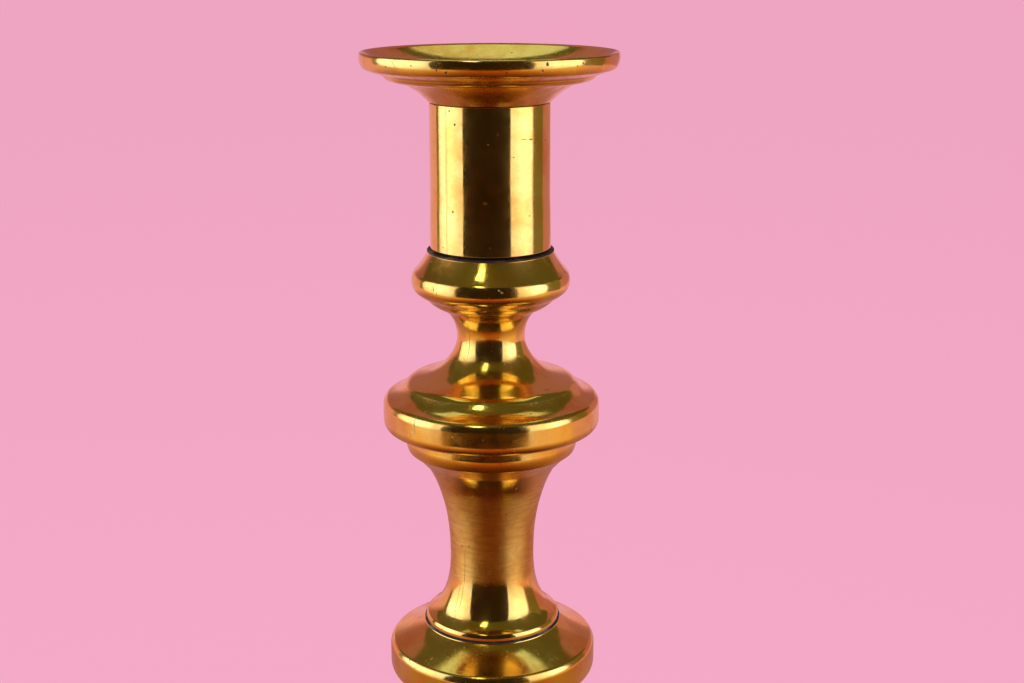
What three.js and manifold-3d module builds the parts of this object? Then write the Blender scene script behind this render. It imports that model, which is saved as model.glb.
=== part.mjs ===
// Altar candlestick of polished brass, built as the real one is: turned sections threaded on a tie rod,
// each located in the next by a short spigot or plug, with a loose drip pan that carries the candle.
// Sizes are in millimetres, +Z is up, and the origin is on the axis at the underside of the foot.
// Every outline is drawn anticlockwise, with radius to the right and height upwards.

import * as THREE from 'three';
import Module from 'manifold-3d';
import { mergeVertices } from 'three/addons/utils/BufferGeometryUtils.js';

const wasm = await Module();
wasm.setup();

// Fineness of the turned surfaces
const segments = 32;
const chordTurn = THREE.MathUtils.degToRad(24);

// Candle, spigot and barrel, from the inside out
const candleRadius = 11.1;
const candleClearance = 0.15;
const spigotWall = 1.05;
const spigotClearance = 0.2;
const barrelWall = 1.5;
const spigotLength = 12;
const barrelHeight = 34.4;
const barrelFloor = 3.4;
const barrelSwell = 0.17;
const barrelSwellHeight = 12.5;
const jointGroove = 0.6;

// Drip pan, from the seat up
const panCupRadius = 20.4;
const panCupHeight = 4.45;
const panRingRadius = 24.5;
const panRingInset = 1.9;
const panRingHeight = 1.7;
const panRimRadius = 29.8;
const panRimDraft = 0.3;
const panUndersideRise = 1.15;
const panRimHeight = 2.7;
const panRimRound = 1;
const panRimRoundBelow = 1.6;
const panLipWidth = 0.8;
const panLipDrop = 0.35;
const panDishDepth = 6;
const panThroatBevel = 0.8;

// Upper stem, from the edge of its foot up
const footRadius = 20.2;
const footEdge = 0.35;
const footTopRadius = 14.7;
const footRise = 2.5;
const waistRadius = 8.1;
const waistBelow = 8.7;
const waistAbove = 7.4;
const upperRingRadius = 15.4;
const upperRingInset = 3.4;
const upperRingChamfer = 1.7;
const upperRingChamferRise = 0.8;
const upperRingHeight = 1.7;
const upperRingFillet = 0.4;
const upperKnopRadius = 18.75;
const upperKnopBelow = 3.4;
const upperKnopAbove = 4.9;
const upperLipRadius = 14.4;
const upperCoveWidth = 1.5;
const upperCoveHeight = 2.6;

// Wide knop, from its seat up
const wideRingRadius = 21.2;
const wideRingTaper = 0.85;
const wideRingUnder = 3.6;
const wideRingHeight = 4.9;
const wideStep = 0.4;
const wideKnopRadius = 25.95;
const wideBandRoundBelow = 1.7;
const wideBandHeight = 4.1;
const wideBandRoundAbove = 1.5;
const wideBandInset = 0.9;
const wideShoulderRise = 3.4;

// Neck, from the bell mouth up
const bellRadius = 16.45;
const bellLip = 0.9;
const bellBead = 0.6;
const neckWaistRadius = 10.22;
const neckBelow = 15.5;
const neckAbove = 16;
const neckHeadRadius = 12.4;
const neckHeadRise = 8.1;
const neckTopRadius = 16.2;

// Lower knop, from its seat up
const lowerRingRadius = 20.6;
const lowerRingTaper = 0.8;
const lowerRingUnder = 3.4;
const lowerRingHeight = 4.9;
const lowerStep = 0.4;
const lowerKnopRadius = 25.44;
const lowerBandRoundBelow = 1.7;
const lowerBandHeight = 4.7;
const lowerBandRoundAbove = 1.4;
const lowerBandInset = 0.65;
const lowerShoulderRise = 5.5;
const lowerKnopTopRadius = 17;

// Lower stem, from its mouth up
const stemMouthRadius = 17;
const stemLip = 1;
const stemBead = 0.8;
const stemWaistRadius = 9.6;
const stemBelow = 31.2;
const stemAbove = 21.7;
const stemHeadRadius = 12.6;
const stemHeadRise = 6.5;
const stemTopRadius = 16;

// Collar between stem and base
const collarNeckRadius = 18.2;
const collarNeckHeight = 1.2;
const collarRadius = 22;
const collarRound = 3.8;

// Base, from the floor up
const baseRadius = 62;
const footRingWidth = 6;
const footBandHeight = 6;
const footBandRound = 1.6;
const footLedge = 4;
const footStepHeight = 1;
const coveRadius = 45;
const coveRise = 8;
const domeRadius = 42;
const domeStepHeight = 2.5;
const domeFlankRadius = 29;
const domeFlankRise = 16.5;
const domeNeckRadius = 18;
const domeNeckRise = 14;
const baseWall = 3;
const baseCrown = 8;

// Fits between the sections
const seatStep = 0.3;
const edgeBevel = 0.3;
const seatWidth = 3.2;
const shaftWall = 3.6;
const coreRoof = 6.5;
const plugLength = 3;
const plugClearance = 0.2;
const registerWall = 3.5;
const registerLength = 2;
const registerEndGap = 0.4;

// Rod and fixings
const rodRadius = 3.175;
const rodClearance = 0.325;
const threadClearance = 0.12;
const rodTail = 3;
const rodEndBevel = 0.5;
const topNutMargin = 2.25;
const topNutHeight = 4;
const topNutBevel = 0.6;
const slotWidth = 1.6;
const slotDepth = 1.3;
const baseNutWall = 2.4;
const baseNutHeight = 5.5;
const baseNutBevel = 0.7;
const washerMargin = 2;
const washerThickness = 2;

// Mouldings. A bow is pulled towards one corner and a bend by two handles. Each is given as shares of the
// way from the curve's start to its end, first along the radius and then upwards.
const bows = {
  flare: [0.445, 0.67],
  ovolo: [0.8, 0.22],
  upright: [1, 0.3],
  level: [0, 1],
  shallow: [0.88, 0.8],
  steep: [0.97, 0.12],
  bandTop: [0, 0.6],
  shoulder: [0.65, 0.56],
  bead: [0.2, 0.5],
  cove: [0.4, 0.62],
  head: [0.474, 0.568],
};
const bends = {
  dish: [0.23, 0.56, 0.55, 1],
  waistBelow: [0.55, 0.2, 1, 0.65],
  waistAbove: [0, 0.46, 0.46, 0.86],
  knopBelow: [0.61, 0.2, 1, 0.53],
  knopAbove: [0, 0.43, 0.754, 0.67],
  shaftBelow: [0.757, 0.2, 1, 0.58],
  shaftAbove: [0, 0.406, 0.312, 0.75],
  footCove: [0.5, 0.12, 0.95, 0.45],
  dome: [0.03, 0.42, 0.54, 0.78],
  domeNeck: [0.54, 0.26, 0.96, 0.57],
};

// Radii that follow from the fits
const candleBoreRadius = candleRadius + candleClearance;
const spigotRadius = candleBoreRadius + spigotWall;
const barrelBoreRadius = spigotRadius + spigotClearance;
const barrelRadius = barrelBoreRadius + barrelWall;
const barrelFootRadius = barrelRadius + barrelSwell;
const rodBoreRadius = rodRadius + rodClearance;
const nutBoreRadius = rodRadius + threadClearance;
const registerRadius = rodBoreRadius + registerWall;
const recessRadius = registerRadius + plugClearance;
const recessDepth = registerLength + registerEndGap;
const wideCoreRadius = neckTopRadius - seatWidth;
const lowerCoreRadius = stemTopRadius - seatWidth;
const neckCoreRadius = neckWaistRadius - shaftWall;
const stemCoreRadius = stemWaistRadius - shaftWall;
const topNutRadius = candleBoreRadius - topNutMargin;
const baseNutFlat = nutBoreRadius + baseNutWall;
const roofRadius = domeNeckRadius - baseWall;
const washerRadius = roofRadius - washerMargin;

// Heights of the sections
const collarHeight = 2 * (collarNeckHeight + collarRound);
const neckHeight = bellLip + bellBead + neckBelow + neckAbove + neckHeadRise;
const stemHeight = stemLip + stemBead + stemBelow + stemAbove + stemHeadRise;
const wideKnopHeight = wideRingUnder + wideRingHeight + wideStep
  + wideBandRoundBelow + wideBandHeight + wideBandRoundAbove + wideShoulderRise;
const lowerKnopHeight = lowerRingUnder + lowerRingHeight + lowerStep
  + lowerBandRoundBelow + lowerBandHeight + lowerBandRoundAbove + lowerShoulderRise;
const upperStemHeight = footRise + waistBelow + waistAbove + upperRingChamferRise + upperRingHeight
  + upperRingFillet + upperKnopBelow + upperKnopAbove + upperCoveHeight;
const baseHeight = footBandHeight + footStepHeight + coveRise + domeStepHeight + domeFlankRise + domeNeckRise;

// Heights of the seats, from the floor up
const stemSeat = baseHeight + collarHeight;
const lowerKnopSeat = stemSeat + stemHeight;
const neckSeat = lowerKnopSeat + lowerKnopHeight;
const wideKnopSeat = neckSeat + neckHeight;
const upperStemSeat = wideKnopSeat + wideKnopHeight;
const barrelSeat = upperStemSeat + upperStemHeight;
const panSeat = barrelSeat + barrelHeight;
const topNutSeat = barrelSeat + barrelFloor;
const roofHeight = baseHeight - baseCrown;
const washerSeat = roofHeight - washerThickness;
const baseNutSeat = washerSeat - baseNutHeight;
const rodBottom = baseNutSeat - rodTail;
const rodTop = topNutSeat + topNutHeight - slotDepth - rodClearance;

const brass = { color: 0xc9942e, roughness: 0.16, metalness: 1 };
const steel = { color: 0x6f6c66, roughness: 0.45, metalness: 1 };

const candlestick = new THREE.Group();

// An outline that is drawn by steps from its last point.
class Outline extends THREE.Path {
  lineBy(outwards, upwards) {
    return this.lineTo(this.currentPoint.x + outwards, this.currentPoint.y + upwards);
  }

  bow(radius, height, [across, along]) {
    const { x, y } = this.currentPoint;
    return this.quadraticCurveTo(x + (radius - x) * across, y + (height - y) * along, radius, height);
  }

  bend(radius, height, [across1, along1, across2, along2]) {
    const { x, y } = this.currentPoint;
    return this.bezierCurveTo(
      x + (radius - x) * across1, y + (height - y) * along1,
      x + (radius - x) * across2, y + (height - y) * along2,
      radius, height,
    );
  }

  // Bore and bevelled spigot under a section, which drops into the recess on top of the next one.
  startWithRegister() {
    this.moveTo(rodBoreRadius, -registerLength);
    this.lineTo(registerRadius - edgeBevel, -registerLength);
    this.lineTo(registerRadius, -registerLength + edgeBevel);
    this.lineTo(registerRadius, 0);
  }

  // Recess on top of a section for the spigot of the section above.
  addRecess(height) {
    this.lineTo(recessRadius, height);
    this.lineTo(recessRadius, height - recessDepth);
    this.lineTo(rodBoreRadius, height - recessDepth);
  }

  // Bevelled plug on top of a section, which closes the core of the section above.
  addPlug(coreRadius, height) {
    this.lineTo(coreRadius - plugClearance, height);
    this.lineBy(0, plugLength - edgeBevel);
    this.lineBy(-edgeBevel, edgeBevel);
    this.lineTo(rodBoreRadius, height + plugLength);
  }

  // Core that is open at the foot of a section, under a roof that the rod passes through.
  closeWithCore(coreRadius, height) {
    this.lineTo(rodBoreRadius, height - coreRoof);
    this.lineTo(coreRadius, height - coreRoof);
    this.closePath();
  }
}

// Points of an outline. The chords along a curve follow from how far it turns.
function sample(outline) {
  const points = [outline.curves[0].getPoint(0)];
  for (const curve of outline.curves) {
    const turn = curve.getTangent(0).angleTo(curve.getTangent(1));
    const chords = curve.isLineCurve ? 1 : Math.max(2, Math.ceil(turn / chordTurn));
    for (let step = 1; step <= chords; step += 1) {
      points.push(curve.getPoint(step / chords));
    }
  }
  return points;
}

// Sweeps an outline round the axis and stands it up along +Z.
function revolve(outline) {
  return new THREE.LatheGeometry(sample(outline), segments).rotateX(Math.PI / 2);
}

function place(name, geometry, finish, seat) {
  const mesh = new THREE.Mesh(geometry, new THREE.MeshStandardMaterial(finish));
  mesh.name = name;
  mesh.position.z = seat;
  candlestick.add(mesh);
}

function toSolid(geometry) {
  const bare = geometry.clone();
  bare.deleteAttribute('normal');
  bare.deleteAttribute('uv');
  const merged = mergeVertices(bare, 1e-4);
  return new wasm.Manifold(new wasm.Mesh({
    numProp: 3,
    vertProperties: new Float32Array(merged.attributes.position.array),
    triVerts: new Uint32Array(merged.index.array),
  }));
}

function toGeometry(solid) {
  const mesh = solid.getMesh();
  const geometry = new THREE.BufferGeometry();
  geometry.setAttribute('position', new THREE.BufferAttribute(mesh.vertProperties, 3));
  geometry.setIndex(new THREE.BufferAttribute(mesh.triVerts, 1));
  return geometry;
}

// Outline of a bored disc with bevelled outer edges.
function disc(bore, radius, height, bevel) {
  const outline = new Outline();
  outline.moveTo(bore, 0);
  outline.lineTo(radius - bevel, 0);
  outline.lineTo(radius, bevel);
  outline.lineTo(radius, height - bevel);
  outline.lineTo(radius - bevel, height);
  outline.lineTo(bore, height);
  outline.closePath();
  return outline;
}

// Pan: a shallow dish with a banded rim, over a ring and a flared cup that ends in the spigot.
function dripPan() {
  const ringTop = panCupHeight + panRingHeight;
  const rimBottom = ringTop + panUndersideRise;
  const rimSide = rimBottom + panRimRoundBelow - panRimDraft;
  const rimTop = rimSide + panRimHeight;
  const dishFloor = rimTop - panDishDepth;
  const outline = new Outline();
  outline.moveTo(candleBoreRadius, -spigotLength);
  outline.lineTo(spigotRadius - edgeBevel, -spigotLength);
  outline.lineTo(spigotRadius, -spigotLength + edgeBevel);
  outline.lineTo(spigotRadius, 0);
  outline.lineTo(barrelFootRadius, 0);
  outline.bow(panCupRadius, panCupHeight, bows.flare);
  outline.lineTo(panRingRadius - panRingInset, panCupHeight + panRimDraft);
  outline.bow(panRingRadius, ringTop, bows.ovolo);
  outline.lineTo(panRimRadius - panRimDraft - panRimRoundBelow, rimBottom);
  outline.bow(panRimRadius - panRimDraft, rimSide, bows.upright);
  outline.lineTo(panRimRadius, rimTop - panRimRound);
  outline.bow(panRimRadius - panRimRound, rimTop, bows.level);
  outline.lineBy(-panLipWidth, -panLipDrop);
  outline.bend(candleBoreRadius + panThroatBevel, dishFloor, bends.dish);
  outline.lineBy(-panThroatBevel, -panThroatBevel);
  outline.closePath();
  place('drip_pan', revolve(outline), brass, panSeat);
}

// Barrel: a cup with a bored floor, relieved at its foot where it meets the knop.
function socketBarrel() {
  const outline = new Outline();
  outline.startWithRegister();
  outline.lineTo(barrelFootRadius - jointGroove, 0);
  outline.lineTo(barrelFootRadius, jointGroove);
  outline.bow(barrelRadius, jointGroove + barrelSwellHeight, bows.bandTop);
  outline.lineTo(barrelRadius, barrelHeight - edgeBevel);
  outline.lineTo(barrelRadius - edgeBevel, barrelHeight);
  outline.lineTo(barrelBoreRadius, barrelHeight);
  outline.lineTo(barrelBoreRadius, barrelFloor);
  outline.lineTo(rodBoreRadius, barrelFloor);
  outline.closePath();
  place('socket_barrel', revolve(outline), brass, barrelSeat);
}

// Upper stem: knop and small ring over a waist that spreads to a thin-edged foot.
function upperStem() {
  const waistHeight = footRise + waistBelow;
  const ringFoot = waistHeight + waistAbove;
  const ringSide = ringFoot + upperRingChamferRise;
  const ringTop = ringSide + upperRingHeight;
  const knopFoot = ringTop + upperRingFillet;
  const knopWidest = knopFoot + upperKnopBelow;
  const outline = new Outline();
  outline.startWithRegister();
  outline.lineTo(footRadius, 0);
  outline.lineTo(footRadius, footEdge / 2);
  outline.lineTo(footRadius - footEdge, footEdge);
  outline.lineTo(footTopRadius, footRise);
  outline.bend(waistRadius, waistHeight, bends.waistBelow);
  outline.bend(upperRingRadius - upperRingInset, ringFoot, bends.waistAbove);
  outline.lineTo(upperRingRadius - upperRingChamfer, ringSide);
  outline.bow(upperRingRadius, ringTop, bows.ovolo);
  outline.lineBy(upperRingFillet, upperRingFillet);
  outline.bend(upperKnopRadius, knopWidest, bends.knopBelow);
  outline.bend(upperLipRadius + upperCoveWidth, knopWidest + upperKnopAbove, bends.knopAbove);
  outline.bow(upperLipRadius, upperStemHeight, bows.cove);
  outline.addRecess(upperStemHeight);
  outline.closePath();
  place('upper_stem', revolve(outline), brass, upperStemSeat);
}

// Lower half of a knop: a ring under a plain band, up to the start of the shoulder.
function knopBand(outline, coreRadius, seatRadius, ring, band) {
  outline.moveTo(coreRadius, 0);
  outline.lineTo(seatRadius + seatStep, 0);
  outline.bow(ring.radius - ring.taper, ring.under, bows.shallow);
  outline.lineTo(ring.radius, ring.under + ring.height);
  outline.lineTo(band.radius - band.roundBelow, ring.under + ring.height + ring.step);
  outline.bow(band.radius, outline.currentPoint.y + band.roundBelow, bows.steep);
  outline.lineBy(0, band.height);
  outline.bow(band.radius - band.inset, outline.currentPoint.y + band.roundAbove, bows.bandTop);
}

// Wide knop: a sloping shoulder, a plain band and a stepped ring, cored out from below.
function wideKnop() {
  const outline = new Outline();
  knopBand(
    outline, wideCoreRadius, neckTopRadius,
    { radius: wideRingRadius, taper: wideRingTaper, under: wideRingUnder, height: wideRingHeight, step: wideStep },
    {
      radius: wideKnopRadius, roundBelow: wideBandRoundBelow, height: wideBandHeight,
      roundAbove: wideBandRoundAbove, inset: wideBandInset,
    },
  );
  outline.bow(footRadius + seatStep, wideKnopHeight, bows.shoulder);
  outline.addRecess(wideKnopHeight);
  outline.closeWithCore(wideCoreRadius, wideKnopHeight);
  place('wide_knop', revolve(outline), brass, wideKnopSeat);
}

// Lower knop: a steeper shoulder over a band and a stepped ring, cored out from below.
function lowerKnop() {
  const outline = new Outline();
  knopBand(
    outline, lowerCoreRadius, stemTopRadius,
    {
      radius: lowerRingRadius, taper: lowerRingTaper, under: lowerRingUnder,
      height: lowerRingHeight, step: lowerStep,
    },
    {
      radius: lowerKnopRadius, roundBelow: lowerBandRoundBelow, height: lowerBandHeight,
      roundAbove: lowerBandRoundAbove, inset: lowerBandInset,
    },
  );
  outline.bow(lowerKnopTopRadius, lowerKnopHeight, bows.shoulder);
  outline.addPlug(neckCoreRadius, lowerKnopHeight);
  outline.closeWithCore(lowerCoreRadius, lowerKnopHeight);
  place('lower_knop', revolve(outline), brass, lowerKnopSeat);
}

// Shaft: a bell mouth with a small lip, a waist and a spreading head under a plug, cored out from below.
function shaft(name, seat, mouth, waist, head, plugCoreRadius, coreRadius) {
  const outline = new Outline();
  outline.moveTo(coreRadius, 0);
  outline.lineTo(mouth.radius - edgeBevel, 0);
  outline.lineBy(edgeBevel, edgeBevel);
  outline.lineTo(mouth.radius, mouth.lip);
  outline.bow(mouth.radius - mouth.bead, mouth.lip + mouth.bead, bows.bead);
  outline.bend(waist.radius, mouth.lip + mouth.bead + waist.below, bends.shaftBelow);
  outline.bend(head.throat, mouth.lip + mouth.bead + waist.below + waist.above, bends.shaftAbove);
  outline.bow(head.radius, outline.currentPoint.y + head.rise, bows.head);
  const height = outline.currentPoint.y;
  outline.addPlug(plugCoreRadius, height);
  outline.closeWithCore(coreRadius, height);
  place(name, revolve(outline), brass, seat);
}

function neck() {
  shaft(
    'neck', neckSeat,
    { radius: bellRadius, lip: bellLip, bead: bellBead },
    { radius: neckWaistRadius, below: neckBelow, above: neckAbove },
    { throat: neckHeadRadius, radius: neckTopRadius, rise: neckHeadRise },
    wideCoreRadius, neckCoreRadius,
  );
}

function lowerStem() {
  shaft(
    'lower_stem', stemSeat,
    { radius: stemMouthRadius, lip: stemLip, bead: stemBead },
    { radius: stemWaistRadius, below: stemBelow, above: stemAbove },
    { throat: stemHeadRadius, radius: stemTopRadius, rise: stemHeadRise },
    lowerCoreRadius, stemCoreRadius,
  );
}

// Collar: a round-edged ring that carries the stem on the base.
function baseCollar() {
  const outline = new Outline();
  outline.startWithRegister();
  outline.lineTo(collarNeckRadius, 0);
  outline.lineTo(collarNeckRadius, collarNeckHeight);
  outline.bow(collarRadius, collarHeight / 2, bows.steep);
  outline.bow(collarNeckRadius, collarHeight - collarNeckHeight, bows.level);
  outline.lineTo(collarNeckRadius, collarHeight);
  outline.addPlug(stemCoreRadius, collarHeight);
  outline.closePath();
  place('base_collar', revolve(outline), brass, baseHeight);
}

// Base: a foot band, a cove, a step and a bell-shaped dome, hollow below with an even wall.
function base() {
  const ledge = footBandHeight + footStepHeight;
  const coveTop = ledge + coveRise;
  const stepTop = coveTop + domeStepHeight;
  const flankTop = stepTop + domeFlankRise;
  const innerFoot = baseRadius - footRingWidth;
  const outline = new Outline();
  outline.moveTo(innerFoot, 0);
  outline.lineTo(baseRadius - footBandRound / 2, 0);
  outline.lineTo(baseRadius, footBandRound / 2);
  outline.lineTo(baseRadius, footBandHeight - footBandRound);
  outline.bow(baseRadius - footBandRound, footBandHeight, bows.level);
  outline.lineTo(baseRadius - footLedge, footBandHeight);
  outline.lineTo(baseRadius - footLedge, ledge);
  outline.bend(coveRadius, coveTop, bends.footCove);
  outline.lineTo(domeRadius, coveTop);
  outline.lineTo(domeRadius, stepTop);
  outline.bend(domeFlankRadius, flankTop, bends.dome);
  outline.bend(domeNeckRadius, baseHeight, bends.domeNeck);
  outline.addRecess(baseHeight);
  outline.lineTo(rodBoreRadius, roofHeight);
  outline.lineTo(roofRadius, roofHeight);
  outline.lineTo(domeFlankRadius - baseWall, flankTop - baseWall);
  outline.bow(domeRadius - baseWall, stepTop, bows.upright);
  outline.lineTo(domeRadius - baseWall, coveTop - baseWall);
  outline.lineTo(coveRadius - baseWall, coveTop - baseWall);
  outline.bow(innerFoot, footBandHeight - baseWall, bows.shallow);
  outline.closePath();
  place('base', revolve(outline), brass, 0);
}

function tieRod() {
  const length = rodTop - rodBottom;
  const outline = new Outline();
  outline.moveTo(0, 0);
  outline.lineTo(rodRadius - rodEndBevel, 0);
  outline.lineTo(rodRadius, rodEndBevel);
  outline.lineTo(rodRadius, length - rodEndBevel);
  outline.lineTo(rodRadius - rodEndBevel, length);
  outline.lineTo(0, length);
  place('tie_rod', revolve(outline), steel, rodBottom);
}

// Top nut: round, with a slot for a screwdriver. Its face is the seat of the candle.
function rodTopNut() {
  const blank = toSolid(revolve(disc(nutBoreRadius, topNutRadius, topNutHeight, topNutBevel)));
  const cutter = new THREE.BoxGeometry(topNutRadius * 3, slotWidth, slotDepth * 2);
  cutter.translate(0, 0, topNutHeight);
  place('rod_top_nut', toGeometry(blank.subtract(toSolid(cutter))), brass, topNutSeat);
}

function baseWasher() {
  place('base_washer', revolve(disc(rodBoreRadius, washerRadius, washerThickness, edgeBevel)), steel, washerSeat);
}

// Base nut: a hexagon whose corners are turned off at both ends.
function baseNut() {
  const corner = baseNutFlat / Math.cos(Math.PI / 6);
  const hexagon = new THREE.CylinderGeometry(corner, corner, baseNutHeight, 6).rotateX(Math.PI / 2);
  hexagon.translate(0, 0, baseNutHeight / 2);
  const blank = toSolid(revolve(disc(nutBoreRadius, corner + threadClearance, baseNutHeight, baseNutBevel)));
  place('base_nut', toGeometry(blank.intersect(toSolid(hexagon))), steel, baseNutSeat);
}

base();
baseCollar();
lowerStem();
lowerKnop();
neck();
wideKnop();
upperStem();
socketBarrel();
dripPan();
tieRod();
rodTopNut();
baseWasher();
baseNut();

export default candlestick;
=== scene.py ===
# Altar candlestick of old polished brass: its looks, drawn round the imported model.
# Outlines are in millimetres, radius to the right and height upwards, and everything placed is in metres.

import math
from types import SimpleNamespace as Sizes

import bpy
import numpy as np
from mathutils import Matrix, Vector


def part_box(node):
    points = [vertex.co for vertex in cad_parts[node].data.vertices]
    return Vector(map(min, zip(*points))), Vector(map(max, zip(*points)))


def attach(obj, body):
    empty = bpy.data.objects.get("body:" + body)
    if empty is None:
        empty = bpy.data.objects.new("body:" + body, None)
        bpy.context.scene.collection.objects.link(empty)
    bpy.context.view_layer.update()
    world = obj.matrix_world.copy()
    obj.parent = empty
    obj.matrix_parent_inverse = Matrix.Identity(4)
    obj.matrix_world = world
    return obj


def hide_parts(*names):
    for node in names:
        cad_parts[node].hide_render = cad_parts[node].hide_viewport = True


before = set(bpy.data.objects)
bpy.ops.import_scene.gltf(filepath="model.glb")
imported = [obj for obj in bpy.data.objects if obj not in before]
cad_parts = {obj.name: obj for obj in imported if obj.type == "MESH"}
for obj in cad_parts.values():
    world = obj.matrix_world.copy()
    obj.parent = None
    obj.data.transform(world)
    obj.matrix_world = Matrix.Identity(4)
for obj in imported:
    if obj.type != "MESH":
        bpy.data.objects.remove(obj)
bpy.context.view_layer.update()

MM = 0.001
BODY = "candlestick"
PAN_BODY = "drip_pan"

# Fineness of the turned surfaces: segments round the axis, and the turn and least number of a curve's chords
SEGMENTS = 160
CHORD_TURN = math.radians(4)
CURVE_CHORDS = 3

# Corners: the least turn that counts as one, the length rounded off an ordinary edge and off one in a tight
# joint, and the largest share of a stretch that a rounded corner takes up
CORNER_TURN = math.radians(5)
ARRIS = 0.14
FLUSH = 0.03
CORNER_SHARE = 0.4

# Radii, heights and other lengths of the pieces, in millimetres
FIT = Sizes(
    candle_bore=11.25, spigot=12.3, barrel_bore=12.5, barrel=14.0, barrel_foot=14.17, rod_bore=3.5,
    register=7.0, register_length=2.0, recess=7.2, recess_depth=2.4, seat_step=0.3, bevel=0.3,
    core_roof=6.5, plug_length=3.0, plug_gap=0.2, wide_core=13.0, lower_core=12.8, neck_core=6.62,
    stem_core=6.0,
)
PAN = Sizes(
    spigot_length=12, cup=20.4, cup_height=4.45, ring=24.5, ring_inset=1.9, ring_height=1.7, rim=29.8,
    draft=0.3, underside_rise=1.15, rim_foot=0.7, rim_height=3.3, rim_tuck=0.6, round_below=1.2,
    round_above=0.6, shoulder=1.1, lip_width=0.8, lip_drop=0.35, dish_depth=6, throat_bevel=0.8,
)
BARREL = Sizes(height=34.4, floor=3.4, swell_height=12.5, groove=0.6)
UPPER = Sizes(
    foot=20.5, edge_inset=2.9, edge_height=1.5, foot_top=14.0, foot_rise=2.75, waist=8.1, below=8.45,
    above=7.3, ring=15.3, ring_inset=3.3, ring_height=2.4, knop=18.75, knop_below=4.0, knop_above=2.5,
    knop_inset=0.75, lip=14.8, cove_height=5.0,
)
WIDE = Sizes(
    seat=16.2, core=FIT.wide_core, ring=20.8, taper=0.65, under=3.3, ring_round=2.9, ring_height=5.2,
    ring_lean=0.02, step=0.5, band=25.95, round_below=2.3, undercut=1.3, band_height=3.3, round_above=2.1,
    inset=1.15, shoulder_rise=2.9, lip=0, top=20.5, shoulder="hollow_shoulder",
)
LOWER = Sizes(
    seat=16.0, core=FIT.lower_core, ring=20.3, taper=0.6, under=3.1, ring_round=2.8, ring_height=5.2,
    ring_lean=0.02, step=0.5, band=25.44, round_below=2.3, undercut=1.3, band_height=3.9, round_above=2.1,
    inset=1.05, shoulder_rise=4.55, lip=0.35, top=16.8, shoulder="sloping_shoulder",
)
NECK = Sizes(
    mouth=16.45, lip=0.9, bead=0.45, bead_height=0.9, waist=10.22, below=15.2, above=16, throat=12.4,
    rise=8.1, head=16.2, core=FIT.neck_core, plug_core=FIT.wide_core,
)
STEM = Sizes(
    mouth=17, lip=1.0, bead=0.5, bead_height=1.0, waist=9.6, below=31.0, above=21.7, throat=12.6,
    rise=6.5, head=16, core=FIT.stem_core, plug_core=FIT.lower_core,
)
COLLAR = Sizes(neck=18.2, neck_height=1.2, radius=22, height=10)
BASE = Sizes(
    radius=62, ring_width=6, band_height=6, band_round=1.6, ledge=4, step_height=1, cove=45, cove_rise=8,
    dome=42, dome_step=2.5, flank=29, flank_rise=16.5, neck=18, wall=3, crown=8, height=48,
)

# The black dirt that stands out of a joint, at the lip of the upper knop and at the mouths of the shafts
GRIME_RING = Sizes(height=0.45, lip=0.15, lip_rise=0.15, mouth=0.3, mouth_edge=0.1125, mouth_rise=0.225)

# Mouldings: shares of the way from a curve's start to its end, across and then up
BOWS = {
    "flare": (0.445, 0.67), "ovolo": (0.8, 0.22), "upright": (1, 0.3), "level": (0, 1),
    "shallow": (0.88, 0.8), "steep": (0.97, 0.12), "band_top": (0, 0.6), "foot_flank": (0.673, 0.52),
    "under_ring": (0.42, 0.55), "bead": (0.2, 0.5), "ring_wall": (1, 0.55), "head": (0.4, 0.6),
    "rim_foot": (0.75, 0.2), "rim_face": (1, 0.5), "small_ring": (0.647, 0.377),
}
BENDS = {
    "dish": (0.23, 0.56, 0.55, 1), "waist_below": (0.55, 0.2, 1, 0.65), "waist_above": (0, 0.46, 0.34, 0.86),
    "knop_below": (0.5, 0.27, 1, 0.45), "knop_above": (0, 0.4, 0.2, 0.75), "cove": (0.4, 0.3, 0.72, 0.66),
    "band_foot": (0.62, 0.06, 1, 0.42), "band_corner": (0, 0.45, 0.45, 0.85),
    "hollow_shoulder": (0.5, 0.22, 0.72, 0.44), "sloping_shoulder": (0.32, 0.25, 0.73, 0.58),
    "foot_edge": (0.27, 0.6, 0.45, 0.745), "shaft_below": (0.5, 0.11, 1, 0.36),
    "shaft_above": (0, 0.406, 0.33, 0.715), "foot_cove": (0.5, 0.12, 0.95, 0.45),
    "dome": (0.03, 0.42, 0.54, 0.78), "dome_neck": (0.54, 0.26, 0.96, 0.57),
}


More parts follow.
